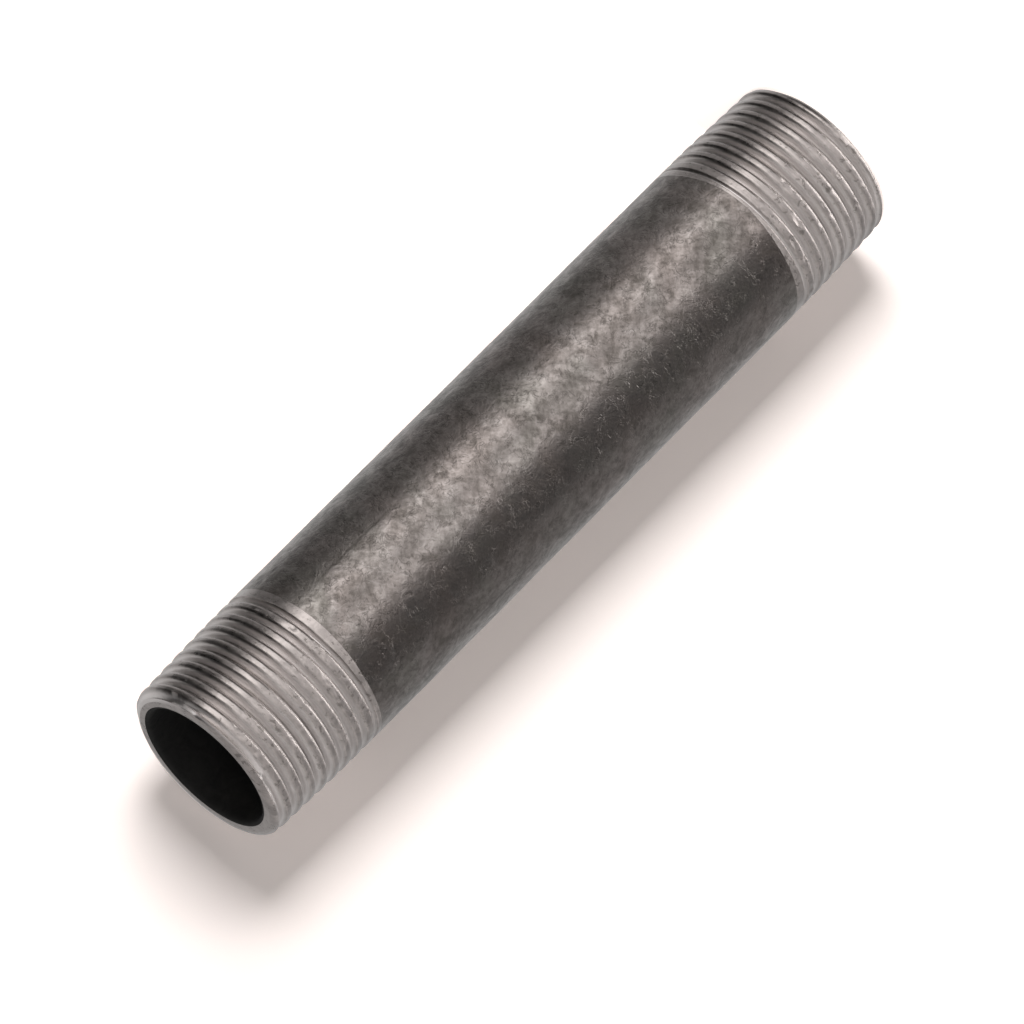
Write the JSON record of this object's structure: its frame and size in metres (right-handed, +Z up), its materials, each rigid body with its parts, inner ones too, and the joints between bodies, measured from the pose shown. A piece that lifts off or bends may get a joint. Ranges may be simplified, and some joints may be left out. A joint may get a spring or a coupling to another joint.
{
  "type": "double nipple",
  "caption": "Short threaded steel tube that joins two pipe fittings, with a taper pipe thread on each end.",
  "frame": {"origin": "centre of the lower end face, which stands on the floor", "axes": "+Z up along the tube's axis; the end with the longer thread is at the top"},
  "size_m": [0.021, 0.021, 0.1],
  "materials": {
    "dark_steel": "dark mill scale on the tube, bright cut steel on the threads and end faces"
  },
  "bodies": {
    "root": {"nipple_body": "dark_steel"}
  },
  "joints": []
}
